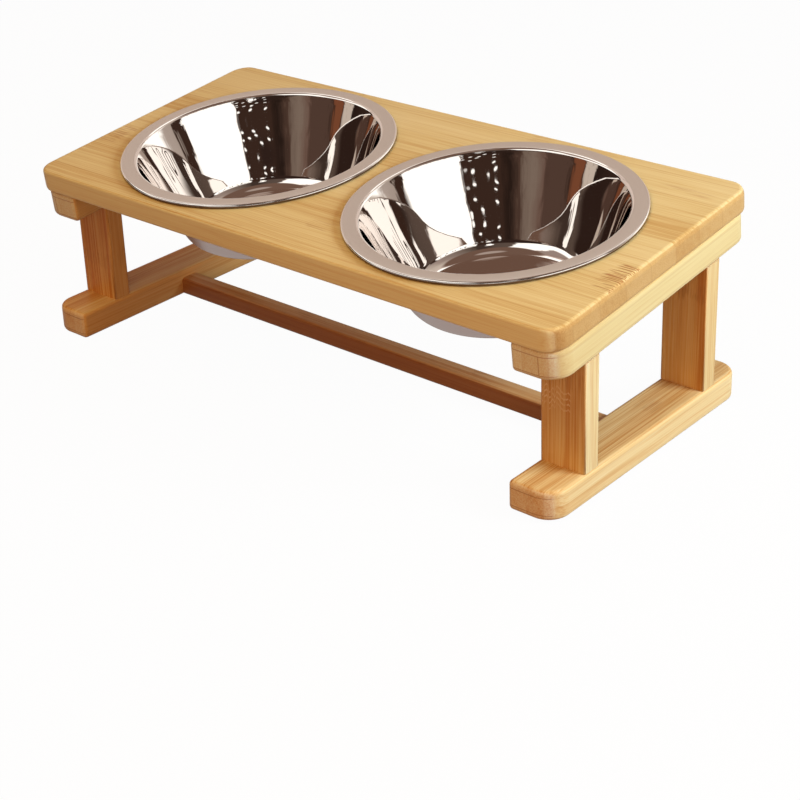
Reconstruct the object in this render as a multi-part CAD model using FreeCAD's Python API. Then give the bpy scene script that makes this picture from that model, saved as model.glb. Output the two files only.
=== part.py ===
import FreeCAD, Part
import math
import os

# Elevated pet feeder: a bamboo stand whose top slopes towards the pet, with two drop-in steel bowls.
# Millimetres. The origin is on the floor, midway between the feet. +X runs along the board, +Y to
# the back and +Z up. The board, rails and bowls are drawn level, with the middle of the board's top
# face at zero, and are then tilted and raised as one.

# Board
tilt_deg = 6.0
top_height = 122.0
board_thickness = 14.0
board_corner_radius = 12.0
board_edge_bevel = 1.2

# Bowls: pressed from sheet, with a flat flange that ends in a rolled bead
rim_radius = 86.6
rim_gap = 10.8
rim_to_board_edge = 6.9
bowl_forward = 1.4
flange_width = 10.0
bowl_depth = 56.5
base_radius = 51.5
base_round = 12.0
lip_round = 2.6
bend_flat_length = 4.5
sheet_thickness = 0.8
bead_diameter = 2.6
rim_seat_gap = 0.2
bowl_hole_clearance = 0.3

# Bars: the top rails and the foot rails are cut from one stock width and share one plan
bar_width = 30.0
bar_end_setback = 1.0
bar_outer_corner = 13.5
bar_inner_corner = 3.0
bar_edge_bevel = 1.6
bar_length = 185.0
rail_to_hole = 0.1
rail_thickness = 17.5
foot_height = 17.5

# Legs
leg_thickness = 12.5
leg_side_inset = 0.75
leg_setback = 28.25
leg_edge_round = 1.0

# Stretcher
stretcher_width = 13.5
stretcher_height = 11.5
stretcher_lift = 0.5
stretcher_edge_round = 2.0

# Pads under the feet
pad_diameter = 14.0
pad_thickness = 1.5
pad_from_end = 14.5

# Fasteners: flat-headed screws that sink into their wood, and plain dowels
screw_shank_diameter = 4.0
screw_head_diameter = 7.5
screw_head_height = 2.4
screw_head_recess = 0.5
screw_clearance = 0.1
board_screw_bite_share = 0.55
board_screw_pitch = 64.0
foot_screw_bite = 20.0
leg_dowel_diameter = 8.0
stretcher_dowel_diameter = 6.0
dowel_clearance = 0.1
dowel_end_room = 1.0
dowel_rail_cover = 5.0
stretcher_dowel_depth = 11.0

# Cuts run past the faces by this much
overrun = 2.0

# Derived sizes
tilt = math.radians(tilt_deg)
flange_top = rim_seat_gap + bead_diameter
mouth_radius = rim_radius - flange_width
hole_radius = mouth_radius + bowl_hole_clearance
bowl_x = rim_radius + rim_gap / 2
bar_inner_x = bowl_x + hole_radius + rail_to_hole
bar_outer_x = bar_inner_x + bar_width
bar_middle_x = (bar_inner_x + bar_outer_x) / 2
board_length = 2 * (bar_outer_x + bar_end_setback)
board_width = 2 * (rim_radius + rim_to_board_edge)
rail_underside = -(board_thickness + rail_thickness)
foot_top = pad_thickness + foot_height
leg_width = bar_width - 2 * leg_side_inset
leg_y = bar_length / 2 - leg_setback - leg_thickness / 2
stretcher_bottom = pad_thickness + stretcher_lift
dowel_reach = rail_thickness - dowel_rail_cover - dowel_end_room

SIDES = {"left": -1, "right": 1}
ENDS = {"front": -1, "back": 1}
UP = FreeCAD.Vector(0, 0, 1)


def turn_of(before, corner, after):
    """Sine of the turn that a path makes at a corner, positive to the left."""
    first = (corner - before).normalize()
    second = (after - corner).normalize()
    return first.cross(second).dot(UP)


def rounded_path(corners, closed):
    """Lines and tangent arcs through corners given as (point, radius), in the XY plane."""
    count = len(corners)
    entries = []
    for index, (corner, radius) in enumerate(corners):
        inside = closed or 0 < index < count - 1
        if not inside or radius == 0:
            entries.append((corner, None, corner))
            continue
        to_before = (corners[index - 1][0] - corner).normalize()
        to_after = (corners[(index + 1) % count][0] - corner).normalize()
        half_angle = to_before.getAngle(to_after) / 2
        tangent_length = radius / math.tan(half_angle)
        start = corner + to_before * tangent_length
        end = corner + to_after * tangent_length
        inwards = (to_before + to_after).normalize()
        middle = corner + inwards * (radius / math.sin(half_angle) - radius)
        entries.append((start, middle, end))
    edges = []
    for index, (start, middle, end) in enumerate(entries):
        if middle is not None:
            edges.append(Part.Arc(start, middle, end).toShape())
        if closed or index < count - 1:
            edges.append(Part.makeLine(end, entries[(index + 1) % count][0]))
    return edges


def offset_corners(corners, distance):
    """The same open path moved to its right, as sheet has two faces: bends grow or shrink with it."""
    moved = []
    last = len(corners) - 1
    for index, (corner, radius) in enumerate(corners):
        before = corners[max(index - 1, 0)][0]
        after = corners[min(index + 1, last)][0]
        if index == 0 or index == last:
            side = (after - before).normalize().cross(UP)
            moved.append((corner + side * distance, 0))
            continue
        first_side = (corner - before).normalize().cross(UP)
        second_side = (after - corner).normalize().cross(UP)
        bisector = (first_side + second_side).normalize()
        reach = distance / bisector.dot(first_side)
        growth = math.copysign(distance, turn_of(before, corner, after))
        moved.append((corner + bisector * reach, radius + growth))
    return moved


def plate(corners, height):
    """A rounded outline raised to a height."""
    outline = Part.Wire(rounded_path(corners, closed=True))
    return Part.Face(outline).extrude(UP * height)


def edges_at(solid, level):
    """Every edge of a solid that lies flat at one level."""
    flat = []
    for edge in solid.Edges:
        box = edge.BoundBox
        if math.isclose(box.ZMin, level, abs_tol=1e-6) and math.isclose(box.ZMax, level, abs_tol=1e-6):
            flat.append(edge)
    return flat


def mirrored_to(side, shape):
    """A right-hand piece, or its mirror image for the left."""
    if side > 0:
        return shape
    return shape.mirror(FreeCAD.Vector(), FreeCAD.Vector(1, 0, 0))


def sloped(shape):
    """A piece drawn level, set on the slope of the top."""
    placed = shape.copy()
    placed.rotate(FreeCAD.Vector(), FreeCAD.Vector(1, 0, 0), tilt_deg)
    placed.translate(UP * top_height)
    return placed


def rail_underside_at(y):
    """Height above the floor of the sloped rail's underside."""
    return top_height + rail_underside / math.cos(tilt) + y * math.tan(tilt)


def bowl_middle(side):
    """Where a bowl's axis meets the board: a little nearer to the front edge than to the back."""
    return FreeCAD.Vector(side * bowl_x, -bowl_forward)


def make_bar(height):
    """A right-hand bar on its own floor: large outer corners, small inner ones, eased all round."""
    half = bar_length / 2
    corners = [
        (FreeCAD.Vector(bar_inner_x, -half), bar_inner_corner),
        (FreeCAD.Vector(bar_outer_x, -half), bar_outer_corner),
        (FreeCAD.Vector(bar_outer_x, half), bar_outer_corner),
        (FreeCAD.Vector(bar_inner_x, half), bar_inner_corner),
    ]
    solid = plate(corners, height)
    return solid.makeChamfer(bar_edge_bevel, edges_at(solid, 0) + edges_at(solid, height))


def make_board():
    half_length = board_length / 2
    half_width = board_width / 2
    corners = [
        (FreeCAD.Vector(-half_length, -half_width), board_corner_radius),
        (FreeCAD.Vector(half_length, -half_width), board_corner_radius),
        (FreeCAD.Vector(half_length, half_width), board_corner_radius),
        (FreeCAD.Vector(-half_length, half_width), board_corner_radius),
    ]
    solid = plate(corners, board_thickness)
    solid = solid.makeChamfer(board_edge_bevel, edges_at(solid, 0) + edges_at(solid, board_thickness))
    for side in SIDES.values():
        solid = solid.cut(Part.makeCylinder(hole_radius, board_thickness, bowl_middle(side)))
    solid.translate(UP * -board_thickness)
    screw_rooms = [moved_to(board_screw_hole, place) for place in board_screw_places(*SIDES.values())]
    return cut_all(solid, screw_rooms)


def in_flats(edges):
    """A path with each of its bends drawn as a few short flats, never fewer than two."""
    lines = []
    for edge in edges:
        straight = isinstance(edge.Curve, Part.Line)
        count = 1 if straight else max(2, round(edge.Length / bend_flat_length))
        points = edge.discretize(count + 1)
        lines += [Part.makeLine(start, end) for start, end in zip(points, points[1:])]
    return lines


def bowl_section():
    """Half section of a bowl in the XY plane, with Y along the bowl's axis and zero at the board's face."""
    base_level = flange_top - bowl_depth
    bead_radius = bead_diameter / 2
    bead_middle = FreeCAD.Vector(rim_radius - bead_radius, flange_top - bead_radius)
    bead_top = bead_middle + FreeCAD.Vector(0, bead_radius)
    bead_side = bead_middle + FreeCAD.Vector(bead_radius, 0)
    bead_foot = bead_middle - FreeCAD.Vector(0, bead_radius)
    slant = FreeCAD.Vector(bead_radius, bead_radius) * math.sqrt(1 / 2)
    upper = [
        (FreeCAD.Vector(0, base_level), 0),
        (FreeCAD.Vector(base_radius, base_level), base_round),
        (FreeCAD.Vector(mouth_radius, flange_top), lip_round),
        (bead_top, 0),
    ]
    lower = offset_corners(upper, sheet_thickness)
    bead = [
        Part.Arc(bead_top, bead_middle + slant, bead_side).toShape(),
        Part.Arc(bead_side, bead_middle + FreeCAD.Vector(slant.x, -slant.y), bead_foot).toShape(),
        Part.makeLine(bead_foot, lower[-1][0]),
    ]
    axis = Part.makeLine(lower[0][0], upper[0][0])
    edges = rounded_path(upper, closed=False) + bead + rounded_path(lower, closed=False) + [axis]
    return Part.Face(Part.Wire(Part.sortEdges(in_flats(edges))[0]))


def make_bowl(side):
    section = bowl_section()
    solid = section.revolve(FreeCAD.Vector(), FreeCAD.Vector(0, 1, 0), 360)
    solid.rotate(FreeCAD.Vector(), FreeCAD.Vector(1, 0, 0), 90)
    solid.translate(bowl_middle(side))
    return solid


def screw_form(length, clearance):
    """A flat-headed screw that points up, with its head's face at zero, or the room that it needs.

    The head seats on its shoulder, so there the room is no deeper than the screw.
    """
    shank = Part.makeCylinder(screw_shank_diameter / 2 + clearance, length + clearance)
    head = Part.makeCylinder(screw_head_diameter / 2 + clearance, screw_head_height)
    return shank.fuse(head).removeSplitter()


def screw_hole(length):
    """The room for a screw, open through the face that its head sinks into."""
    sink = screw_head_recess + overrun
    mouth = Part.makeCylinder(screw_head_diameter / 2 + screw_clearance, sink, UP * -sink)
    return screw_form(length, screw_clearance).fuse(mouth).removeSplitter()


def dowel_hole(diameter, length):
    """The room for a dowel that stands on zero, with space for glue round it and at its ends."""
    radius = diameter / 2 + dowel_clearance
    return Part.makeCylinder(radius, length + 2 * dowel_end_room, UP * -dowel_end_room)


def leg_middle(side, end):
    """Where a leg stands in plan."""
    return FreeCAD.Vector(side * bar_middle_x, end * leg_y)


def moved_to(shape, place):
    placed = shape.copy()
    placed.translate(place)
    return placed


def cut_all(solid, tools):
    for tool in tools:
        solid = solid.cut(tool)
    return solid


# Screws that hold each rail to the board, driven up from the rail's underside
board_screw_length = rail_thickness + board_thickness * board_screw_bite_share - screw_head_recess
board_screw = screw_form(board_screw_length, 0)
board_screw_hole = screw_hole(board_screw_length)


def board_screw_places(*sides):
    level = rail_underside + screw_head_recess
    half = board_screw_pitch / 2
    return [FreeCAD.Vector(side * bar_middle_x, y, level) for side in sides for y in (-half, half)]


# Screws that hold each foot to its legs, driven up from the foot's underside
foot_screw_length = foot_height + foot_screw_bite - screw_head_recess
foot_screw = screw_form(foot_screw_length, 0)
foot_screw_hole = screw_hole(foot_screw_length)


def foot_screw_place(side, end):
    return leg_middle(side, end) + UP * (pad_thickness + screw_head_recess)


# Dowels between each leg and its rail: upright, half in each
leg_dowel = Part.makeCylinder(leg_dowel_diameter / 2, 2 * dowel_reach)
leg_dowel_hole = dowel_hole(leg_dowel_diameter, 2 * dowel_reach)


def leg_dowel_place(side, end):
    middle = leg_middle(side, end)
    return middle + UP * (rail_underside_at(middle.y) - dowel_reach)


# Dowels that tie the stretcher to the feet, laid across the two joints
stretcher_dowel_length = 2 * stretcher_dowel_depth
stretcher_dowel = Part.makeCylinder(stretcher_dowel_diameter / 2, stretcher_dowel_length)
stretcher_dowel_hole = dowel_hole(stretcher_dowel_diameter, stretcher_dowel_length)


def across_joint(shape, side):
    laid = shape.copy()
    laid.rotate(FreeCAD.Vector(), FreeCAD.Vector(0, 1, 0), 90)
    start_x = side * bar_inner_x - stretcher_dowel_depth
    return moved_to(laid, FreeCAD.Vector(start_x, 0, stretcher_bottom + stretcher_height / 2))


stretcher_dowels = [across_joint(stretcher_dowel, side) for side in SIDES.values()]
stretcher_holes = [across_joint(stretcher_dowel_hole, side) for side in SIDES.values()]


def make_leg(side, end):
    """An upright whose top is cut to the slope of the rail that it carries."""
    corner = FreeCAD.Vector(bar_inner_x + leg_side_inset, end * leg_y - leg_thickness / 2, foot_top)
    blank = Part.makeBox(leg_width, leg_thickness, top_height - foot_top, corner)
    upright = [edge for edge in blank.Edges if edge.BoundBox.ZLength > leg_thickness]
    blank = blank.makeFillet(leg_edge_round, upright)
    space = Part.makeBox(board_length, board_length, top_height)
    space.translate(FreeCAD.Vector(-board_length / 2, -board_length / 2, rail_underside - top_height))
    leg = mirrored_to(side, blank.common(sloped(space)))
    screw_room = moved_to(foot_screw_hole, foot_screw_place(side, end))
    dowel_room = moved_to(leg_dowel_hole, leg_dowel_place(side, end))
    return cut_all(leg, [screw_room, dowel_room])


def make_rail(side):
    rail = make_bar(rail_thickness)
    rail.translate(UP * rail_underside)
    rail = mirrored_to(side, rail)
    rail = cut_all(rail, [moved_to(board_screw_hole, place) for place in board_screw_places(side)])
    dowel_rooms = [moved_to(leg_dowel_hole, leg_dowel_place(side, end)) for end in ENDS.values()]
    return cut_all(sloped(rail), dowel_rooms)


def make_foot(side):
    foot = make_bar(foot_height)
    foot.translate(UP * pad_thickness)
    foot = mirrored_to(side, foot)
    screw_rooms = [moved_to(foot_screw_hole, foot_screw_place(side, end)) for end in ENDS.values()]
    return cut_all(foot, screw_rooms + stretcher_holes)


def make_stretcher():
    corner = FreeCAD.Vector(-bar_inner_x, -stretcher_width / 2, stretcher_bottom)
    blank = Part.makeBox(2 * bar_inner_x, stretcher_width, stretcher_height, corner)
    long_edges = [edge for edge in blank.Edges if edge.BoundBox.XLength > bar_inner_x]
    return cut_all(blank.makeFillet(stretcher_edge_round, long_edges), stretcher_holes)


def make_pads():
    pads = []
    pad = Part.makeCylinder(pad_diameter / 2, pad_thickness)
    for side in SIDES.values():
        for end in ENDS.values():
            place = FreeCAD.Vector(side * bar_middle_x, end * (bar_length / 2 - pad_from_end))
            pads.append(moved_to(pad, place))
    return pads


def save(name, *solids):
    shape = solids[0] if len(solids) == 1 else Part.makeCompound(list(solids))
    shape.exportStep("parts/" + name + ".step")


os.makedirs("parts", exist_ok=True)

save("top_board", sloped(make_board()))
save("stretcher", make_stretcher())
save("stretcher_dowels", *stretcher_dowels)
save("foot_pads", *make_pads())

for side_name, side in SIDES.items():
    foot_screws = []
    leg_dowels = []
    for end_name, end in ENDS.items():
        save("leg_" + end_name + "_" + side_name, make_leg(side, end))
        foot_screws.append(moved_to(foot_screw, foot_screw_place(side, end)))
        leg_dowels.append(moved_to(leg_dowel, leg_dowel_place(side, end)))
    save("top_rail_" + side_name, make_rail(side))
    save("foot_rail_" + side_name, make_foot(side))
    save("bowl_" + side_name, sloped(make_bowl(side)))
    board_screws = [sloped(moved_to(board_screw, place)) for place in board_screw_places(side)]
    save("board_screws_" + side_name, *board_screws)
    save("foot_screws_" + side_name, *foot_screws)
    save("leg_dowels_" + side_name, *leg_dowels)
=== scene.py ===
import math

import bmesh
import bpy
from mathutils import Matrix, Vector


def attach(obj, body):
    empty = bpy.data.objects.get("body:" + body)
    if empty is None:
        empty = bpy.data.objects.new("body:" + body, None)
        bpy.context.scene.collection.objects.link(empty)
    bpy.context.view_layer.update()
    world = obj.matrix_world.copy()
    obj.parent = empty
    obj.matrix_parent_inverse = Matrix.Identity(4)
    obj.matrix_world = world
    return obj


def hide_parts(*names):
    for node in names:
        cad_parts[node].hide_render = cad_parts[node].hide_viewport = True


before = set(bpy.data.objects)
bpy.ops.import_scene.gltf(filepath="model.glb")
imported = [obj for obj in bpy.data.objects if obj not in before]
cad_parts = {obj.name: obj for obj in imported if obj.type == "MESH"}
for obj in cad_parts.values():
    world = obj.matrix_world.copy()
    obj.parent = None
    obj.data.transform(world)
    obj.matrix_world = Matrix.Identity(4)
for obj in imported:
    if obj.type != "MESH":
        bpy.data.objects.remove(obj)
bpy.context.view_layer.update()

# Sizes in metres, in the same frame as the solids
TILT = math.radians(6)
TOP_HEIGHT = 0.122
BOARD_HALF = (0.200, 0.0935)
BOARD_THICKNESS = 0.014
BOARD_CORNER = 0.012
BOARD_END_EDGE = 0.0032
BOARD_LONG_EDGE = 0.0014
HOLE_RADIUS = 0.0769
HOLE_EDGE = 0.0008
BOWL_X = 0.092
BOWL_Y = -0.0014
BAR_X = (0.169, 0.199)
BAR_HALF = 0.0925
BAR_HEIGHT = 0.0175
BAR_INNER_CORNER = 0.003
BAR_OUTER_CORNER = 0.0135
BAR_EDGE = 0.0026
PAD = 0.0015
FOOT_TOP = PAD + BAR_HEIGHT
LEG_X = (0.16975, 0.19825)
LEG_Y = 0.058
LEG_THICKNESS = 0.0125
LEG_CORNER = 0.001
STRETCHER_Y = 0.00675
STRETCHER_Z = (0.002, 0.0135)
STRETCHER_CORNER = 0.002
STRETCHER_END_EDGE = 0.00004
LEAST_RADIUS = 0.00002

# The bowls: radii from the bowl's axis and heights from the top of the board
FLANGE_TOP = 0.0028
BOWL_DEPTH = 0.0565
SHEET = 0.0008
MOUTH_RADIUS = 0.0766
BASE_RADIUS = 0.0515
RIM_RADIUS = 0.0866
BEAD_RADIUS = 0.0013
BASE_ROUND = 0.012
LIP_ROUND = 0.0026
FLOOR_RINGS = (0.030, 0.0395)
FLANGE_MARGIN = 0.004
WALL_BOW = 0.0005

# Steps in the roundings, and points in the rings
EDGE_STEPS = 6
HOLE_EDGE_STEPS = 3
BOARD_CORNER_STEPS = 12
BAR_CORNER_STEPS = 10
STRETCHER_CORNER_STEPS = 5
LEG_CORNER_STEPS = 4
BASE_STEPS = 14
WALL_STEPS = 12
LIP_STEPS = 8
LIP_POLISHED_STEPS = 7
UNDER_LIP_STEPS = 6
BEAD_STEPS = 12
HOLE_POINTS = 160
BOWL_POINTS = 200

# A bowl's materials by index, and where they lie round the bead: satin on top, polished outside, and underneath a
# dark steel that is painted shade and painted dark reflection
MIRROR, SATIN, DULL, BEAD, BEAD_SHADE = range(5)
BEAD_FACES = [SATIN] * 2 + [BEAD] * 4 + [BEAD_SHADE] * 7

X, Y, Z = range(3)
SIDES = (("left", -1), ("right", 1))
ENDS = (("front", -1), ("back", 1))
SLOPE = Matrix.Translation((0, 0, TOP_HEIGHT)) @ Matrix.Rotation(TILT, 4, "X")
LEVEL = Matrix.Identity(4)


# Node helpers

def set_inputs(tree, made, inputs):
    for key, value in inputs.items():
        if isinstance(value, bpy.types.NodeSocket):
            tree.links.new(value, made.inputs[key])
        else:
            made.inputs[key].default_value = value


def node(tree, kind, inputs=None, **settings):
    made = tree.nodes.new(kind)
    for key, value in settings.items():
        setattr(made, key, value)
    set_inputs(tree, made, inputs or {})
    return made


def calc(tree, operation, a, b=0.0, c=0.0):
    return node(tree, "ShaderNodeMath", {0: a, 1: b, 2: c}, operation=operation).outputs[0]


def product(tree, first, *others):
    for other in others:
        first = calc(tree, "MULTIPLY", first, other)
    return first


def centred(tree, value):
    """A value from 0 to 1, moved to lie round zero."""
    return calc(tree, "SUBTRACT", value, 0.5)


def away(tree, value, middle):
    """How far a value is from a middle one."""
    return calc(tree, "ABSOLUTE", calc(tree, "SUBTRACT", value, middle))


def fade(tree, value, low, high, out_low=0.0, out_high=1.0):
    """Smooth step from one value to another."""
    inputs = {"Value": value, "From Min": low, "From Max": high, "To Min": out_low, "To Max": out_high}
    return node(tree, "ShaderNodeMapRange", inputs, interpolation_type="SMOOTHSTEP").outputs[0]


def drop(tree, value, low, high):
    """Smooth step from one down to zero."""
    return fade(tree, value, low, high, 1.0, 0.0)


def between(tree, value, rise, fall):
    """One between a rise and a fall, each given by its two ends, and zero outside them."""
    return product(tree, fade(tree, value, *rise), drop(tree, value, *fall))


def blend(tree, factor, a, b, kind="MIX"):
    made = node(tree, "ShaderNodeMix", data_type="RGBA", blend_type=kind)
    set_inputs(tree, made, {0: factor, 6: a, 7: b})
    return made.outputs[2]


def tinted(tree, colour, tint):
    return blend(tree, 1.0, colour, rgb(*tint), "MULTIPLY")


def noise(tree, vector, scale=1.0, detail=2.0, roughness=0.5):
    inputs = {"Vector": vector, "Scale": scale, "Detail": detail, "Roughness": roughness}
    return node(tree, "ShaderNodeTexNoise", inputs).outputs["Fac"]


def random_value(tree, value):
    return node(tree, "ShaderNodeTexWhiteNoise", {"W": value}, noise_dimensions="1D").outputs["Value"]


def rgb(red, green, blue):
    return (red, green, blue, 1.0)


def split(tree, vector):
    return node(tree, "ShaderNodeSeparateXYZ", {0: vector}).outputs


def combine(tree, x, y, z):
    return node(tree, "ShaderNodeCombineXYZ", {0: x, 1: y, 2: z}).outputs[0]


def scaled(tree, values, scales):
    return combine(tree, *[calc(tree, "MULTIPLY", value, scale) for value, scale in zip(values, scales)])


def scaled_pair(tree, values, scales, last=0.0):
    """A vector of two scaled values and a fixed one."""
    return combine(tree, *[calc(tree, "MULTIPLY", value, scale) for value, scale in zip(values, scales)], last)


def colour_ramp(tree, value, stops):
    """A ramp through (place, colour) stops."""
    made = node(tree, "ShaderNodeValToRGB", {0: value})
    points = made.color_ramp.elements
    for index, (place, colour) in enumerate(stops):
        point = points[index] if index < 2 else points.new(place)
        point.position = place
        point.color = rgb(*colour)
    return made.outputs[0]


def new_material(name):
    material = bpy.data.materials.new(name)
    material.use_nodes = True
    tree = material.node_tree
    tree.nodes.clear()
    output = tree.nodes.new("ShaderNodeOutputMaterial")
    coords = tree.nodes.new("ShaderNodeTexCoord").outputs
    return material, tree, output, coords


def surface(tree, output, colour, rough, bump, others):
    """A principled surface with a bump, given as (height, strength, distance)."""
    height, strength, distance = bump
    bumped = node(tree, "ShaderNodeBump", {"Height": height, "Strength": strength, "Distance": distance})
    inputs = {"Base Color": colour, "Roughness": rough, "Normal": bumped.outputs[0], **others}
    shader = node(tree, "ShaderNodeBsdfPrincipled", inputs)
    tree.links.new(shader.outputs[0], output.inputs[0])


# Bamboo

# Pale, middle and dark fibres: of the top and rails, and of the redder legs, feet and stretcher, redder partly in
# their own tone and partly as painted warm shade
PALE_WOOD = (0.88, 0.77, 0.44), (0.80, 0.66, 0.32), (0.63, 0.41, 0.145)
WARM_WOOD_AND_SHADE = (0.88, 0.74, 0.42), (0.80, 0.585, 0.265), (0.62, 0.31, 0.085)
DARK_STOP, MIDDLE_STOP, LIGHT_STOP = 0.12, 0.52, 0.88
NO_TINT = (1.0, 1.0, 1.0)
END_TINT = (1.12, 1.34, 2.0)
KNUCKLE_BROWN = (0.44, 0.20, 0.06)
KNUCKLE_PALE = (0.98, 0.84, 0.56)
GLUE_BROWN = (0.52, 0.31, 0.11)
SEAM_BROWN = (0.36, 0.14, 0.05)

# How far a normal has to lean along an axis for its face to count as an edge or an end
EDGE_LEAN = (0.62, 0.8)
END_LEAN = (0.55, 0.8)

# Waves per metre along the fibres, across them and through the layers
FINE_GRAIN = (14.0, 1100.0, 1100.0)
COARSE_GRAIN = (5.0, 260.0, 260.0)
CLOUDS = (6.0, 22.0, 22.0)
COMB = (45.0, 1150.0, 1150.0)
END_DOTS = (30.0, 1700.0, 1700.0)
SWAY_WAVES = 9.0
RIPPLES = 1900.0
KNUCKLE_WAVES = (330.0, 330.0)  # across the fibres and through the layers
TEARS = (260.0, 520.0)  # along the fibres and across them

# Reaches in metres, and the shares of the tone
SWAY_REACH = 0.003
RUN_SHIFT = 3.0
KNUCKLE_REACH = 0.014
KNUCKLE_SOFT = 0.0015
SEAM_REACH = (0.00010, 0.00042)
JOINT_SOFT = 0.0002
STRIP_SHARE = 0.34
STRIP_SHARE_ON_EDGE = -0.20
FINE_SHARE, COARSE_SHARE, CLOUD_SHARE = 1.15, 0.7, 0.5
CALM_ON_CUTS = -0.45

# Offsets that give the plies and the runs of grain random draws of their own
PLY_SEED = 1.7
RUN_SEED = 37.3

# Where the marks begin and end on their noises, and how strong they are
KNUCKLE_CORE = 0.45  # share of a knuckle's reach that has its full strength
DASHES, DASH_DEPTH = (0.48, 0.56), -0.5
TORN, CRESTS = (0.33, 0.46), (0.25, 0.85)
GLUE_WIDTH, GLUE_STRENGTH = 0.035, 0.22
DOTS, DOT_STRENGTH = (0.40, 0.70), 0.45
SEAM_STRENGTH, SEAM_ON_SIDES, JOINT_STRENGTH = 0.55, 0.22, 0.5

GRAIN_HEIGHT = 0.6
WOOD_ROUGH, WOOD_ROUGH_GRAIN = 0.36, 0.16
WOOD_BUMP = (0.12, 0.0004)  # strength and distance
WOOD_GLOSS = {"IOR": 1.45, "Specular IOR Level": 0.25}


def bamboo(name, along, across, layer, seed, strip, ply, tones, knuckles=(), seams=(), joint=None,
           end_tint=END_TINT, side_light_and_shade=NO_TINT, tint=NO_TINT, contrast=1.0):
    """Laminated bamboo: strips with fibres along one axis, knuckles, plies on the edges and dotted ends.

    A knuckle is its place along the fibres, its start and end across them, its reach and its strength. A negative
    strength makes pale waves in place of brown dashes.
    """
    light, middle, dark = tones
    material, tree, output, coords = new_material(name)
    place = split(tree, coords["Object"])
    normal = split(tree, coords["Normal"])
    u, v, w = place[along], place[across], place[layer]
    edge_face = fade(tree, calc(tree, "ABSOLUTE", normal[across]), *EDGE_LEAN)
    end_face = fade(tree, calc(tree, "ABSOLUTE", normal[along]), *END_LEAN)

    # Strips on the faces and plies on the edges, each with its own tone and its own stretch of grain
    strip_place = calc(tree, "ADD", calc(tree, "DIVIDE", v, strip), seed)
    ply_place = calc(tree, "ADD", calc(tree, "DIVIDE", w, ply), seed * PLY_SEED)
    chosen = node(tree, "ShaderNodeMix", {0: edge_face, 2: strip_place, 3: ply_place}).outputs[0]
    index = calc(tree, "FLOOR", chosen)
    within = calc(tree, "FRACT", chosen)
    own_tone = random_value(tree, index)
    own_run = random_value(tree, calc(tree, "ADD", index, RUN_SEED))

    sway = noise(tree, combine(tree, calc(tree, "MULTIPLY", u, SWAY_WAVES), index, seed))
    side_v = calc(tree, "MULTIPLY_ADD", centred(tree, sway), SWAY_REACH, v)
    run = calc(tree, "MULTIPLY_ADD", own_run, RUN_SHIFT, u)
    fine = noise(tree, scaled(tree, (run, side_v, w), FINE_GRAIN), detail=3.0, roughness=0.6)
    coarse = noise(tree, scaled(tree, (run, side_v, w), COARSE_GRAIN))
    cloud = noise(tree, scaled(tree, (run, v, w), CLOUDS))

    own_share = calc(tree, "MULTIPLY_ADD", edge_face, STRIP_SHARE_ON_EDGE, STRIP_SHARE)
    tone = calc(tree, "MULTIPLY_ADD", centred(tree, own_tone), own_share, 0.5)
    for grain, share in ((fine, FINE_SHARE), (coarse, COARSE_SHARE), (cloud, CLOUD_SHARE)):
        tone = calc(tree, "MULTIPLY_ADD", centred(tree, grain), share, tone)
    cut = calc(tree, "MAXIMUM", end_face, edge_face)
    calm = calc(tree, "MULTIPLY_ADD", cut, contrast * CALM_ON_CUTS, contrast)
    tone = calc(tree, "MULTIPLY_ADD", centred(tree, tone), calm, 0.5)
    colour = colour_ramp(tree, tone, [(DARK_STOP, dark), (LIGHT_STOP, light), (MIDDLE_STOP, middle)])
    # Painted light and shade: the tint darkens and reddens pieces in shade under the top, and the side tint makes
    # long sides paler where light is painted on them or darker where shade is
    colour = tinted(tree, colour, tint)
    colour = blend(tree, edge_face, colour, tinted(tree, colour, side_light_and_shade))

    # Knuckles: short combs of dashes along the fibres, or pale wavy lines, across some of the strips
    wave = noise(tree, scaled_pair(tree, (v, w), KNUCKLE_WAVES, seed), detail=1.0)
    waved_u = calc(tree, "MULTIPLY_ADD", centred(tree, wave), KNUCKLE_REACH, u)
    comb = noise(tree, scaled(tree, (u, v, w), COMB), detail=1.0)
    grain_face = calc(tree, "SUBTRACT", 1.0, end_face)
    height = calc(tree, "MULTIPLY", fine, GRAIN_HEIGHT)
    for spot, start, end, reach, strength in knuckles:
        near = fade(tree, away(tree, waved_u, spot), reach * KNUCKLE_CORE, reach, abs(strength), 0.0)
        inside = between(tree, v, (start, start + KNUCKLE_SOFT), (end - KNUCKLE_SOFT, end))
        mask = product(tree, near, grain_face, inside)
        if strength > 0:
            mask = product(tree, mask, fade(tree, comb, *DASHES))
            colour = blend(tree, mask, colour, rgb(*KNUCKLE_BROWN))
            height = calc(tree, "MULTIPLY_ADD", mask, DASH_DEPTH, height)
        else:
            ripple = calc(tree, "SINE", calc(tree, "MULTIPLY", waved_u, RIPPLES))
            torn = noise(tree, scaled_pair(tree, (u, v), TEARS, seed), detail=1.0)
            mask = product(tree, mask, fade(tree, torn, *TORN), fade(tree, ripple, *CRESTS))
            colour = blend(tree, mask, colour, rgb(*KNUCKLE_PALE))

    # Glue lines between strips
    line = calc(tree, "MINIMUM", within, calc(tree, "SUBTRACT", 1.0, within))
    colour = blend(tree, fade(tree, line, 0.0, GLUE_WIDTH, GLUE_STRENGTH, 0.0), colour, rgb(*GLUE_BROWN))

    # Cut ends: dots of fibre bundles in the dark tone, and the ends' own tint
    dots = noise(tree, scaled(tree, (u, v, w), END_DOTS), detail=1.0)
    dotted = blend(tree, fade(tree, dots, *DOTS), colour, rgb(*dark))
    dotted = blend(tree, DOT_STRENGTH, colour, dotted)
    colour = blend(tree, end_face, colour, tinted(tree, dotted, end_tint))

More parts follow.
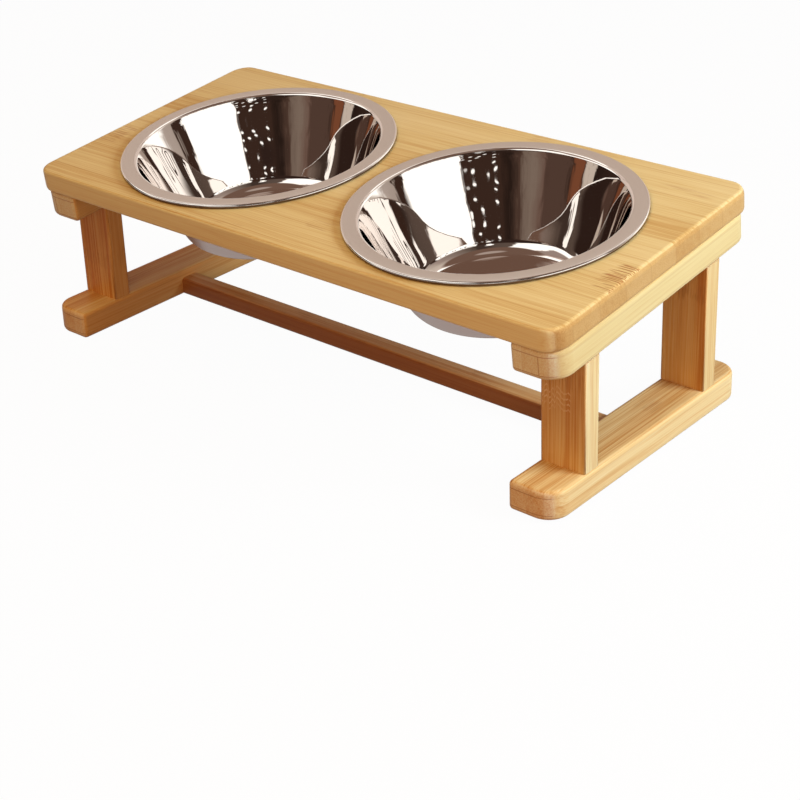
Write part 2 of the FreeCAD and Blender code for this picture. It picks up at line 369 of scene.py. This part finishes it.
    # Glue seams between plies, seen on the ends and faintly on the sides, and an upright joint between two of them
    on_side = calc(tree, "MAXIMUM", end_face, calc(tree, "MULTIPLY", edge_face, SEAM_ON_SIDES))
    for level in seams:
        seam = product(tree, fade(tree, away(tree, w, level), *SEAM_REACH, SEAM_STRENGTH, 0.0), on_side)
        colour = blend(tree, seam, colour, rgb(*SEAM_BROWN))
    if joint:
        gap = away(tree, calc(tree, "ABSOLUTE", v), joint)
        inside = between(tree, w, (seams[0], seams[0] + JOINT_SOFT), (seams[1] - JOINT_SOFT, seams[1]))
        seam = product(tree, fade(tree, gap, *SEAM_REACH, JOINT_STRENGTH, 0.0), end_face, inside)
        colour = blend(tree, seam, colour, rgb(*SEAM_BROWN))

    rough = calc(tree, "MULTIPLY_ADD", fine, WOOD_ROUGH_GRAIN, WOOD_ROUGH)
    surface(tree, output, colour, rough, (height, *WOOD_BUMP), WOOD_GLOSS)
    return material


# Steel and small parts

TURNING_MARKS = (2600.0, 2600.0)
MARK_SHADE, MARK_SHARE = 0.8, 0.25
SMEARS, SMEAR_SHARE = 24.0, 0.6
STEEL_BUMP_DISTANCE = 0.0015
MOTTLE_ROUGH = 0.15
MOTTLE_BUMP = (0.2, 0.0003)  # strength and distance


def steel(name, tint, rough, grain, bumpiness):
    """Stainless steel with fine turning marks round the bowl's axis."""
    material, tree, output, coords = new_material(name)
    x, y, z = split(tree, coords["Object"])
    radius = calc(tree, "SQRT", calc(tree, "ADD", calc(tree, "MULTIPLY", x, x), calc(tree, "MULTIPLY", y, y)))
    rings = noise(tree, scaled_pair(tree, (radius, z), TURNING_MARKS))
    smear = noise(tree, coords["Object"], SMEARS, detail=1.0)
    darker = [channel * MARK_SHADE for channel in tint]
    colour = blend(tree, calc(tree, "MULTIPLY", rings, MARK_SHARE), rgb(*tint), rgb(*darker))
    level = calc(tree, "MULTIPLY_ADD", rings, grain, rough)
    level = calc(tree, "MULTIPLY_ADD", smear, grain * SMEAR_SHARE, level)
    surface(tree, output, colour, level, (smear, bumpiness, STEEL_BUMP_DISTANCE), {"Metallic": 1.0})
    return material


def plain(name, base, other, rough, scale, metallic=0.0):
    """A small part's surface: a mottled colour with a slight unevenness."""
    material, tree, output, coords = new_material(name)
    mottle = noise(tree, coords["Object"], scale, detail=4.0)
    colour = blend(tree, mottle, rgb(*base), rgb(*other))
    level = calc(tree, "MULTIPLY_ADD", mottle, MOTTLE_ROUGH, rough)
    surface(tree, output, colour, level, (mottle, *MOTTLE_BUMP), {"Metallic": metallic})
    return material


# Shapes

def eased(depth, edge):
    """How far a rounded-over side is drawn in at a depth below its edge."""
    return edge - math.sqrt(edge ** 2 - (edge - depth) ** 2) if depth < edge else 0.0


def outline(x, y, corners, inset, steps, inset_y=None):
    """A rounded rectangle, anticlockwise, drawn in by an inset. The same count of points at every inset."""
    if inset_y is None:
        inset_y = inset
    points = []
    turns = ((x[0], y[0], 180), (x[1], y[0], 270), (x[1], y[1], 0), (x[0], y[1], 90))
    for (corner_x, corner_y, start), radius in zip(turns, corners):
        middle_x = corner_x + (radius if corner_x == x[0] else -radius)
        middle_y = corner_y + (radius if corner_y == y[0] else -radius)
        reach_x, reach_y = max(radius - inset, LEAST_RADIUS), max(radius - inset_y, LEAST_RADIUS)
        for step in range(steps + 1):
            angle = math.radians(start + 90 * step / steps)
            points.append((middle_x + reach_x * math.cos(angle), middle_y + reach_y * math.sin(angle)))
    return points


def after_corner(steps):
    """Tells whether an outline's point is the last of its corner, so that a straight stretch follows."""
    return lambda index: index % (steps + 1) == steps


def rounded_levels(low, high, edge, steps):
    """(inset, height) pairs up the side of a piece whose lower and upper edges are rounded over."""
    rows = []
    for step in range(steps + 1):
        angle = math.pi / 2 * step / steps
        rows.append((edge * (1 - math.sin(angle)), low + edge * (1 - math.cos(angle))))
    return rows + [(inset, low + high - height) for inset, height in reversed(rows)]


def full_turn(count):
    """Angles of evenly spaced points round a circle."""
    return [2 * math.pi * step / count for step in range(count)]


def finish_piece(name, bm, place, body, nodes, materials):
    """Turns a mesh into a piece that rides on a body and shows in place of its nodes."""
    mesh = bpy.data.meshes.new(name)
    bm.to_mesh(mesh)
    bm.free()
    piece = bpy.data.objects.new(name, mesh)
    bpy.context.scene.collection.objects.link(piece)
    for material in materials:
        mesh.materials.append(material)
    piece.matrix_world = place
    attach(piece, body)
    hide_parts(*nodes)


def add_rings(bm, rings, straight):
    """Joins rings of equal length by quads. A quad on a straight stretch of an upright side stays flat."""
    loops = [[bm.verts.new(point) for point in ring] for ring in rings]
    count = len(rings[0])
    upright = len(rings) // 2 - 1
    for row, (below, above) in enumerate(zip(loops, loops[1:])):
        for index in range(count):
            after = (index + 1) % count
            face = bm.faces.new((below[index], below[after], above[after], above[index]))
            face.smooth = not (row == upright and straight(index))
    return loops


def add_caps(bm, loops):
    bm.faces.new(list(reversed(loops[0])))
    bm.faces.new(loops[-1])


def bar(name, x, y, low, high, corners, edge, place, nodes, material, steps, swap=None):
    """A wooden bar with rounded plan corners and rounded-over edges. A swap of axes lays it down."""
    bm = bmesh.new()
    turn = swap or (lambda point: point)
    rings = []
    for inset, height in rounded_levels(low, high, edge, EDGE_STEPS):
        rings.append([turn((px, py, height)) for px, py in outline(x, y, corners, inset, steps)])
    add_caps(bm, add_rings(bm, rings, after_corner(steps)))
    finish_piece(name, bm, place, "stand", nodes, [material])


def board(material):
    """The top: crisper along its length than at its ends, with two round holes."""
    half_x, half_y = BOARD_HALF
    thickness = BOARD_THICKNESS
    bm = bmesh.new()
    rings = []
    for inset, height in rounded_levels(-thickness, 0.0, BOARD_END_EDGE, EDGE_STEPS):
        inset_y = eased(min(height + thickness, -height), BOARD_LONG_EDGE)
        plan = outline((-half_x, half_x), (-half_y, half_y), [BOARD_CORNER] * 4, inset, BOARD_CORNER_STEPS, inset_y)
        rings.append([(px, py, height) for px, py in plan])
    walls = [add_rings(bm, rings, after_corner(BOARD_CORNER_STEPS))]
    turns = full_turn(HOLE_POINTS)
    for _, side in SIDES:
        rings = []
        for inset, height in rounded_levels(-thickness, 0.0, HOLE_EDGE, HOLE_EDGE_STEPS):
            reach = HOLE_RADIUS + inset
            rings.append([(side * BOWL_X + reach * math.cos(t), BOWL_Y - reach * math.sin(t), height) for t in turns])
        walls.append(add_rings(bm, rings, lambda index: False))
    for level, up in ((0, -1.0), (-1, 1.0)):
        edges = []
        for loops in walls:
            ring = loops[level]
            edges += [bm.edges.get((a, b)) for a, b in zip(ring, ring[1:] + ring[:1])]
        bmesh.ops.triangle_fill(bm, use_beauty=True, edges=edges, normal=(0.0, 0.0, up))
    finish_piece("board", bm, SLOPE, "stand", ["top_board"], [material])


def leg(name, side, end, material):
    """An upright with eased corners, cut at the top to the slope of the rail."""
    x = sorted((side * LEG_X[0], side * LEG_X[1]))
    y = (end * LEG_Y - LEG_THICKNESS / 2, end * LEG_Y + LEG_THICKNESS / 2)
    plan = outline(x, y, [LEG_CORNER] * 4, 0.0, LEG_CORNER_STEPS)
    drop_to_rail = (BOARD_THICKNESS + BAR_HEIGHT) / math.cos(TILT)
    low = [(px, py, FOOT_TOP) for px, py in plan]
    high = [(px, py, TOP_HEIGHT - drop_to_rail + py * math.tan(TILT)) for px, py in plan]
    bm = bmesh.new()
    add_caps(bm, add_rings(bm, [low, high], after_corner(LEG_CORNER_STEPS)))
    finish_piece(name, bm, LEVEL, "stand", [name.replace("upright", "leg")], [material])


def arc(middle, radius, start, end, steps):
    """(radius, height) points along an arc between two angles in degrees."""
    points = []
    for step in range(steps + 1):
        angle = math.radians(start + (end - start) * step / steps)
        points.append((middle[0] + radius * math.cos(angle), middle[1] + radius * math.sin(angle)))
    return points


def wall(start, end, material):
    """Points between the ends of a bowl's wall, bowed outwards a little as pressed sheet is."""
    rows = []
    for step in range(1, WALL_STEPS):
        share = step / WALL_STEPS
        bow = WALL_BOW * math.sin(math.pi * share) ** 2
        rows.append((start[0] + (end[0] - start[0]) * share + bow, start[1] + (end[1] - start[1]) * share, material))
    return rows


def bowl_profile():
    """(radius, height, material) from the middle of the inside, over the rim, to the middle of the underside."""
    floor_level = FLANGE_TOP - BOWL_DEPTH
    slope = math.atan2(BOWL_DEPTH, MOUTH_RADIUS - BASE_RADIUS)
    degrees = math.degrees(slope)
    half = math.tan(slope / 2)
    base = arc((BASE_RADIUS - BASE_ROUND * half, floor_level + BASE_ROUND), BASE_ROUND, -90, degrees - 90, BASE_STEPS)
    lip = arc((MOUTH_RADIUS + LIP_ROUND * half, FLANGE_TOP - LIP_ROUND), LIP_ROUND, degrees + 90, 90, LIP_STEPS)
    bead = arc((RIM_RADIUS - BEAD_RADIUS, FLANGE_TOP - BEAD_RADIUS), BEAD_RADIUS, 90, -90, BEAD_STEPS)
    rows = [(radius, floor_level, MIRROR) for radius in (0.0, *FLOOR_RINGS)]
    rows += [(r, z, MIRROR) for r, z in base]
    rows += wall(base[-1], lip[0], MIRROR)
    rows += [(r, z, MIRROR if step < LIP_POLISHED_STEPS else SATIN) for step, (r, z) in enumerate(lip)]
    rows += [(MOUTH_RADIUS + FLANGE_MARGIN, FLANGE_TOP, SATIN), (RIM_RADIUS - FLANGE_MARGIN, FLANGE_TOP, SATIN)]
    rows += [(r, z, material) for (r, z), material in zip(bead, BEAD_FACES)]

    # The underside runs at the sheet's thickness from the inside
    shift = SHEET * (1 - math.cos(slope)) / math.sin(slope)
    lip_round, base_round = LIP_ROUND - SHEET, BASE_ROUND + SHEET
    lip = arc((MOUTH_RADIUS + shift + lip_round * half, FLANGE_TOP - SHEET - lip_round), lip_round,
              90, degrees + 90, UNDER_LIP_STEPS)
    base = arc((BASE_RADIUS + shift - base_round * half, floor_level - SHEET + base_round), base_round,
               degrees - 90, -90, BASE_STEPS)
    rows += [(RIM_RADIUS - BEAD_RADIUS, FLANGE_TOP - SHEET, DULL)]
    rows += [(r, z, DULL) for r, z in lip]
    rows += wall(lip[-1], base[0], DULL)
    rows += [(r, z, DULL) for r, z in base]
    rows += [(radius, floor_level - SHEET, DULL) for radius in (FLOOR_RINGS[0], 0.0)]
    return rows


def bowl(name, side, node_name, body, materials):
    """A bowl turned from its profile, seated in its hole."""
    bm = bmesh.new()
    turns = full_turn(BOWL_POINTS)
    profile = bowl_profile()
    loops = []
    for reach, height, _ in profile:
        if reach == 0:
            loops.append([bm.verts.new((0, 0, height))])
        else:
            loops.append([bm.verts.new((reach * math.cos(t), reach * math.sin(t), height)) for t in turns])
    for first, second, (_, _, material) in zip(loops, loops[1:], profile[1:]):
        for index in range(BOWL_POINTS):
            after = (index + 1) % BOWL_POINTS
            corners = [first[index % len(first)], second[index % len(second)], second[after % len(second)],
                       first[after % len(first)]]
            face = bm.faces.new(list(dict.fromkeys(corners)))
            face.smooth = True
            face.material_index = material
    bmesh.ops.recalc_face_normals(bm, faces=bm.faces)
    place = SLOPE @ Matrix.Translation((side * BOWL_X, BOWL_Y, 0))
    finish_piece(name, bm, place, body, [node_name], materials)


# The wooden pieces. Knuckles are given as in bamboo, and tints by side, painted light and shade: of the whole wood,
# and of its long sides

BOARD_MARKS = [
    (-0.190, -0.043, -0.017, 0.0085, 0.55), (0.1945, -0.047, -0.0165, 0.0088, 0.9),
    (-0.034, -0.0935, -0.084, 0.012, 0.4), (0.016, -0.069, -0.058, 0.010, 0.3), (0.172, 0.066, 0.074, 0.022, 0.3),
    (-0.118, 0.079, 0.090, 0.010, 0.4), (0.060, 0.072, 0.0935, 0.010, 0.25),
]
FOOT_MARKS = {
    "left": [(-0.040, -0.196, -0.184, 0.009, 0.3)],
    "right": [(0.020, 0.176, 0.190, 0.009, 0.35)],
}
LEG_MARKS = {
    ("front", "right"): [(0.0590, 0.170, 0.1895, 0.0075, -0.9), (0.0720, 0.1690, 0.1985, 0.0070, 0.3)],
    ("back", "right"): [(0.0800, 0.1690, 0.1985, 0.0075, 0.4)],
    ("front", "left"): [(0.0450, -0.1985, -0.1690, 0.0065, 0.35)],
    ("back", "left"): [(0.0620, -0.1985, -0.1690, 0.0065, -0.5)],
}
STRETCHER_MARKS = [(-0.060, -0.006, 0.006, 0.008, 0.4), (0.080, -0.006, 0.006, 0.008, 0.4)]
# Painted shade on the left legs and foot and on the back right leg; painted light, paler, on the right legs' and
# foot's narrow sides
LEFT_SHADE_TINT = (1.0, 0.92, 0.80)
LEFT_SIDE_SHADE = (1.0, 0.95, 0.90)
FOOT_LIGHT_AND_SHADE = {"left": (LEFT_SHADE_TINT, LEFT_SIDE_SHADE), "right": (NO_TINT, (1.06, 1.16, 1.28))}
LEG_LIGHT_AND_SHADE = {
    ("front", "right"): (NO_TINT, (1.05, 1.24, 1.50)),
    ("back", "right"): ((1.0, 0.93, 0.86), (0.96, 1.12, 1.30)),
    ("front", "left"): (LEFT_SHADE_TINT, LEFT_SIDE_SHADE),
    ("back", "left"): (LEFT_SHADE_TINT, LEFT_SIDE_SHADE),
}
# Painted shade on the left rail's long sides, darker and redder; the right rail's slightly paler and cooler, painted
# light
RAIL_SIDE_LIGHT_AND_SHADE = {"left": (1.0, 0.88, 0.78), "right": (0.97, 1.02, 1.06)}
RAIL_SEAMS = (-0.0287, -0.0176)
FOOT_SEAMS = (0.0048, 0.0150)
RAIL_JOINT = 0.1868
PLY = 0.0058

# Painted light: the top's long sides are made paler and less orange, against the warm lamp on its shaded front
board(bamboo("bamboo_board", along=X, across=Y, layer=Z, seed=3.37, strip=0.0235, ply=0.030, tones=PALE_WOOD,
             knuckles=BOARD_MARKS, end_tint=(0.77, 0.64, 0.54), side_light_and_shade=(1.22, 1.45, 1.86)))
for side_name, side in SIDES:
    x = sorted((side * BAR_X[0], side * BAR_X[1]))
    y = (-BAR_HALF, BAR_HALF)
    inner, outer = BAR_INNER_CORNER, BAR_OUTER_CORNER
    corners = [inner, outer, outer, inner] if side > 0 else [outer, inner, inner, outer]
    rail_wood = bamboo("bamboo_rail_" + side_name, along=Y, across=X, layer=Z, seed=8.21, strip=0.0150, ply=PLY,
                       tones=PALE_WOOD, seams=RAIL_SEAMS, joint=RAIL_JOINT, end_tint=(1.18, 1.50, 2.4),
                       side_light_and_shade=RAIL_SIDE_LIGHT_AND_SHADE[side_name], contrast=0.8)
    bar("rail_" + side_name, x, y, -BOARD_THICKNESS - BAR_HEIGHT, -BOARD_THICKNESS, corners, BAR_EDGE, SLOPE,
        ["top_rail_" + side_name], rail_wood, BAR_CORNER_STEPS)
    tint, side_light_and_shade = FOOT_LIGHT_AND_SHADE[side_name]
    foot_wood = bamboo("bamboo_foot_" + side_name, along=Y, across=X, layer=Z, seed=4.87, strip=0.0100, ply=PLY,
                       tones=WARM_WOOD_AND_SHADE, knuckles=FOOT_MARKS[side_name], seams=FOOT_SEAMS, side_light_and_shade=side_light_and_shade,
                       tint=tint, contrast=1.25)
    bar("foot_" + side_name, x, y, PAD, FOOT_TOP, corners, BAR_EDGE, LEVEL,
        ["foot_rail_" + side_name], foot_wood, BAR_CORNER_STEPS)
    for end_name, end in ENDS:
        tint, side_light_and_shade = LEG_LIGHT_AND_SHADE[end_name, side_name]
        leg_name = end_name + "_" + side_name
        leg_wood = bamboo("bamboo_leg_" + leg_name, along=Z, across=X, layer=Y, seed=5.63 + side * 1.3 + end * 0.7,
                          strip=0.0075, ply=0.0062, tones=WARM_WOOD_AND_SHADE, knuckles=LEG_MARKS[end_name, side_name],
                          side_light_and_shade=side_light_and_shade, tint=tint, contrast=1.3)
        leg("upright_" + leg_name, side, end, leg_wood)
# Painted shade: the stretcher under the top is tinted darker and redder, its long sides most of all
stretcher_wood = bamboo("bamboo_stretcher", along=X, across=Y, layer=Z, seed=1.91, strip=0.0068, ply=PLY,
                        tones=WARM_WOOD_AND_SHADE, knuckles=STRETCHER_MARKS, side_light_and_shade=(0.64, 0.50, 0.45),
                        tint=(0.88, 0.74, 0.68))
bar("stretcher_bar", (-STRETCHER_Y, STRETCHER_Y), STRETCHER_Z, -BAR_X[0], BAR_X[0], [STRETCHER_CORNER] * 4,
    STRETCHER_END_EDGE, LEVEL, ["stretcher"], stretcher_wood, STRETCHER_CORNER_STEPS,
    swap=lambda point: (point[2], point[0], point[1]))

# The bowls' materials, in the order of their indices
bowl_steels = [
    steel("steel_inside", tint=(0.92, 0.87, 0.84), rough=0.012, grain=0.012, bumpiness=0.12),
    steel("steel_flange", tint=(0.68, 0.60, 0.54), rough=0.28, grain=0.10, bumpiness=0.02),
    steel("steel_underside", tint=(0.56, 0.46, 0.42), rough=0.32, grain=0.10, bumpiness=0.03),
    steel("steel_bead", tint=(0.90, 0.86, 0.83), rough=0.07, grain=0.04, bumpiness=0.02),
    # Painted shade: a dark steel under the bead stands in for the shade and dark reflection where the rim meets the
    # board
    steel("steel_bead_shade", tint=(0.20, 0.15, 0.13), rough=0.35, grain=0.10, bumpiness=0.03),
]
for side_name, side in SIDES:
    bowl("basin_" + side_name, side, "bowl_" + side_name, side_name + "_bowl", bowl_steels)

# Fasteners and pads show as the solids themselves
small_parts = {
    "screws": plain("screw_zinc", (0.62, 0.61, 0.58), (0.45, 0.44, 0.41), rough=0.3, scale=900.0, metallic=1.0),
    "dowels": plain("dowel_beech", (0.70, 0.50, 0.28), (0.60, 0.40, 0.20), rough=0.6, scale=400.0),
    "pads": plain("pad_rubber", (0.70, 0.69, 0.66), (0.62, 0.61, 0.58), rough=0.7, scale=700.0),
}
for name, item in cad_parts.items():
    for word, material in small_parts.items():
        if word in name:
            item.data.materials.clear()
            item.data.materials.append(material)


# Stage: a pale floor, a studio that shows in the steel, and soft lamps

FLOOR_HALF = 6.0
FLOOR_CAMERA_WHITE = 0.97
FLOOR_GLOSSY_WHITE = 0.6
FLOOR_BROWN = (0.20, 0.10, 0.055)
PAPER_GRAIN, PAPER_GREY, PAPER_PALE = 40.0, (0.80, 0.80, 0.80), (0.84, 0.84, 0.84)
PURE_WHITE = (1.0, 1.0, 1.0)


def floor():
    """White to the camera but for the object's shadow, and a warm brown to diffuse light."""
    bm = bmesh.new()
    bmesh.ops.create_grid(bm, x_segments=1, y_segments=1, size=FLOOR_HALF)
    mesh = bpy.data.meshes.new("floor")
    bm.to_mesh(mesh)
    bm.free()
    plane = bpy.data.objects.new("floor", mesh)
    bpy.context.scene.collection.objects.link(plane)
    material, tree, output, coords = new_material("floor_white")
    fleck = noise(tree, coords["Object"], PAPER_GRAIN, detail=3.0)
    paper = blend(tree, fleck, rgb(*PAPER_GREY), rgb(*PAPER_PALE))
    path = tree.nodes.new("ShaderNodeLightPath").outputs
    paper = blend(tree, path["Is Camera Ray"], rgb(*FLOOR_BROWN), paper)
    diffuse = node(tree, "ShaderNodeBsdfDiffuse", {"Color": paper})
    white = node(tree, "ShaderNodeEmission", {"Color": rgb(*PURE_WHITE), "Strength": 1.0})
    share = calc(tree, "MULTIPLY", path["Is Camera Ray"], FLOOR_CAMERA_WHITE)
    share = calc(tree, "MULTIPLY_ADD", path["Is Glossy Ray"], FLOOR_GLOSSY_WHITE, share)
    mixed = node(tree, "ShaderNodeMixShader", {0: share, 1: diffuse.outputs[0], 2: white.outputs[0]})
    tree.links.new(mixed.outputs[0], output.inputs[0])
    mesh.materials.append(material)


WHITE, HAZE, CREAM = (1.35, 1.32, 1.25), (0.72, 0.59, 0.51), (0.58, 0.49, 0.41)
BLACK, UMBER, RUST = (0.02, 0.011, 0.008), (0.043, 0.022, 0.015), (0.19, 0.065, 0.030)
TAUPE, DUSK = (0.15, 0.090, 0.068), (0.085, 0.048, 0.035)
GLOOM, ZENITH, CEILING_SPOT = (0.03, 0.016, 0.012), (0.168, 0.098, 0.070), (0.42, 0.33, 0.28)
SOFT_LOW, SOFT_HIGH = (0.20, 0.050, 0.016), (0.21, 0.076, 0.032)

# Colours by bearing in degrees: at the height that the bowls' walls show in one reflection, higher up, and low down
STUDIO_LOW = [
    (-180, UMBER), (-149, BLACK), (-147, CREAM), (-140, CREAM), (-138, UMBER), (-136, RUST), (-127, RUST),
    (-124, UMBER), (-121, DUSK), (-103, DUSK), (-100, TAUPE), (-88, (0.21, 0.155, 0.12)), (-82, (0.18, 0.13, 0.10)),
    (-78, (0.08, 0.045, 0.032)), (-68, BLACK), (-60, UMBER), (-27, UMBER), (-26, WHITE), (29, WHITE), (30.5, UMBER),
    (40, UMBER), (42, (0.40, 0.33, 0.28)), (54, (0.46, 0.38, 0.33)), (62, WHITE), (85, WHITE), (96, HAZE),
    (180, HAZE),
]
STUDIO_HIGH = [
    (-180, HAZE), (-165, (0.3, 0.2, 0.16)), (-160, (0.34, 0.26, 0.22)), (-134, (0.34, 0.26, 0.22)), (-129, WHITE),
    (-81, WHITE), (-77, (0.12, 0.085, 0.068)), (-51, (0.10, 0.072, 0.058)), (-38, (0.055, 0.036, 0.028)),
    (-27, (0.055, 0.036, 0.028)), (-12, (0.15, 0.11, 0.088)), (35, (0.35, 0.27, 0.23)), (60, CREAM), (100, HAZE),
    (180, HAZE),
]
TABLE = [
    (-180, UMBER), (-93, UMBER), (-90, WHITE), (-67, WHITE), (-65, UMBER), (-62, UMBER), (-60, WHITE), (-45, WHITE),
    (-43, UMBER), (-30, CREAM), (180, CREAM),
]
# Things in the room, as (bearing, half its width, lowest and highest sine of height, colour)
PATCHES = [
    (-110, 3.5, 0.32, 0.39, CREAM), (-43.5, 4.0, 0.39, 0.47, WHITE), (-45, 4.5, 0.60, 0.74, WHITE),
]
PATCH_SOFT_HEIGHT = 0.015
PATCH_SOFT_BEARING = 1

# Where the parts of the room begin and end to fade: heights as sines, bearings in radians
HIGH_RISE = (0.56, 0.64)
ZENITH_RISE = (0.86, 0.90)
CEILING_SPOT_RISE = (0.986, 0.996)
GLOOM_RISE, GLOOM_BEARING = (0.33, 0.37), (-0.85, -0.75)
PANEL_LEAN, PANEL_SLANT = -2.932, (-3.26, -3.19)
PANEL_RISE, PANEL_BEARING = (0.35, 0.38), (-1.52, -1.45)
STRIP_RISE, STRIP_FALL, STRIP_BEARING = (0.68, 0.70), (0.86, 0.88), (1.55, 1.65)
SPOT_GRID, SPOT_SIZE, SPOT_CHOICE = (8.5, 75.0), (0.20, 0.30), (0.60, 0.65)
SPOTS_FROM, SPOTS_TO, SPOTS_BELOW = (-1.06, -1.00), (-0.50, -0.46), (0.42, 0.45)
TABLE_BELOW, TABLE_BEARING = (0.13, 0.18), (-1.85, -1.75)
TWIG_RISE, TWIG_FALL, TWIG_BEARING, TWIG_WIDTH = (0.455, 0.47), (0.58, 0.60), (-0.45, -0.40), (0.010, 0.022)
TWIG_SCALE = 4.5
SOFT_RISE = (-0.3, 0.8)
# The wavering of upright edges, as (scale, detail, reach)
SWAY, JAG = (10.0, 3.0, 0.26), (36.0, 1.0, 0.10)


def round_horizon(tree, bearing, stops):
    """A colour by bearing, from stops in degrees."""
    share = calc(tree, "MULTIPLY_ADD", bearing, 0.5 / math.pi, 0.5)
    return colour_ramp(tree, share, [(degrees / 360 + 0.5, colour) for degrees, colour in stops])


def room_colour(tree, way, bearing, height):
    """A dark room with a window, by the direction of a reflection."""
    swayed = bearing
    for scale, detail, reach in (SWAY, JAG):
        swayed = calc(tree, "MULTIPLY_ADD", centred(tree, noise(tree, way, scale, detail)), reach, swayed)

    # Walls, with gloom above one part of them and a bright panel that leans
    low = round_horizon(tree, swayed, STUDIO_LOW)
    gloom = product(tree, fade(tree, height, *GLOOM_RISE), drop(tree, bearing, *GLOOM_BEARING))
    low = blend(tree, gloom, low, rgb(*GLOOM))
    slant = calc(tree, "MULTIPLY_ADD", height, PANEL_LEAN, bearing)
    panel = product(tree, drop(tree, slant, *PANEL_SLANT), fade(tree, height, *PANEL_RISE),
                    drop(tree, bearing, *PANEL_BEARING))
    low = blend(tree, panel, low, rgb(*WHITE))

    # Upper walls, the ceiling with a spot in its middle, and a strip of light high at the back
    room = blend(tree, fade(tree, height, *HIGH_RISE), low, round_horizon(tree, swayed, STUDIO_HIGH))
    room = blend(tree, fade(tree, height, *ZENITH_RISE), room, rgb(*ZENITH))
    room = blend(tree, fade(tree, height, *CEILING_SPOT_RISE), room, rgb(*CEILING_SPOT))
    strip = product(tree, between(tree, height, STRIP_RISE, STRIP_FALL), fade(tree, bearing, *STRIP_BEARING))
    room = blend(tree, strip, room, rgb(*WHITE))

    # Small lamps beside the window
    grid = scaled_pair(tree, (bearing, height), SPOT_GRID)
    cells = node(tree, "ShaderNodeTexVoronoi", {"Vector": grid, "Scale": 1.0}, voronoi_dimensions="2D").outputs
    lit = fade(tree, split(tree, cells["Color"])[0], *SPOT_CHOICE)
    beside = product(tree, between(tree, bearing, SPOTS_FROM, SPOTS_TO), drop(tree, height, *SPOTS_BELOW))
    spots = product(tree, drop(tree, cells["Distance"], *SPOT_SIZE), lit, beside)
    room = blend(tree, spots, room, rgb(*WHITE))

    # A bright table low down, separate patches of light, and branches in the window's upper part
    table = product(tree, drop(tree, height, *TABLE_BELOW), fade(tree, bearing, *TABLE_BEARING))
    room = blend(tree, table, room, round_horizon(tree, swayed, TABLE))
    for middle, half, bottom, top, colour in PATCHES:
        aside = away(tree, swayed, math.radians(middle))
        narrow = drop(tree, aside, math.radians(half - PATCH_SOFT_BEARING), math.radians(half))
        level = between(tree, height, (bottom, bottom + PATCH_SOFT_HEIGHT), (top - PATCH_SOFT_HEIGHT, top))
        room = blend(tree, product(tree, level, narrow), room, rgb(*colour))
    twig = away(tree, noise(tree, way, TWIG_SCALE, detail=1.0), 0.5)
    twigs = product(tree, between(tree, height, TWIG_RISE, TWIG_FALL), fade(tree, bearing, *TWIG_BEARING),
                    drop(tree, twig, *TWIG_WIDTH))
    return blend(tree, twigs, room, rgb(*UMBER))


def studio():
    """White to the camera; a room with a window to the steel; dim and warm to everything else."""
    world = bpy.data.worlds.new("studio")
    bpy.context.scene.world = world
    world.use_nodes = True
    tree = world.node_tree
    tree.nodes.clear()
    way = tree.nodes.new("ShaderNodeTexCoord").outputs["Generated"]
    x, y, height = split(tree, way)
    room = room_colour(tree, way, calc(tree, "ARCTAN2", y, x), height)
    path = tree.nodes.new("ShaderNodeLightPath").outputs
    soft = blend(tree, fade(tree, height, *SOFT_RISE), rgb(*SOFT_LOW), rgb(*SOFT_HIGH))
    seen = blend(tree, path["Is Glossy Ray"], soft, room)
    seen = blend(tree, path["Is Camera Ray"], seen, rgb(*PURE_WHITE))
    background = node(tree, "ShaderNodeBackground", {"Color": seen, "Strength": 1.0})
    node(tree, "ShaderNodeOutputWorld", {0: background.outputs[0]})


def lamp(name, place, target, size, power, colour):
    """A soft lamp that neither the camera nor the steel sees."""
    data = bpy.data.lights.new(name, "AREA")
    data.shape = "RECTANGLE"
    data.size, data.size_y = size
    data.energy = power
    data.color = colour
    item = bpy.data.objects.new(name, data)
    bpy.context.scene.collection.objects.link(item)
    item.location = place
    item.rotation_euler = (Vector(target) - Vector(place)).to_track_quat("-Z", "Y").to_euler()
    item.visible_glossy = False
    item.visible_camera = False


# The camera, as fitted to the photo's edges
CAMERA_PLACE = (0.655207, -0.728318, 0.493188)
CAMERA_RIGHT = (0.75331529, 0.6565328, -0.03848066)
CAMERA_UP = (-0.2388853, 0.32767708, 0.91409056)
SENSOR, LENS = 36.0, 79.676
SHIFT = (0.03284, -0.16178)


def camera():
    """The photo's camera, set by its place and two of its axes."""
    data = bpy.data.cameras.new("camera")
    data.sensor_width = SENSOR
    data.lens = LENS
    data.shift_x, data.shift_y = SHIFT
    item = bpy.data.objects.new("camera", data)
    bpy.context.scene.collection.objects.link(item)
    right, up = Vector(CAMERA_RIGHT), Vector(CAMERA_UP)
    turn = Matrix((right, up, right.cross(up))).transposed().to_4x4()
    item.matrix_world = Matrix.Translation(CAMERA_PLACE) @ turn
    bpy.context.scene.camera = item


floor()
studio()
lamp("key", place=(1.02, 0.30, 0.55), target=(0.05, 0.0, 0.08), size=(0.5, 0.4), power=11.8,
     colour=(0.87, 0.96, 1.0))
lamp("top", place=(0.05, -0.45, 1.15), target=(0.0, 0.0, 0.1), size=(0.9, 0.9), power=5.2,
     colour=(1.0, 0.76, 0.40))
lamp("front", place=(0.60, -0.90, 0.35), target=(0.0, 0.0, 0.08), size=(0.9, 0.6), power=2.9,
     colour=(1.0, 0.53, 0.26))
camera()
bpy.context.scene.view_settings.view_transform = "Standard"
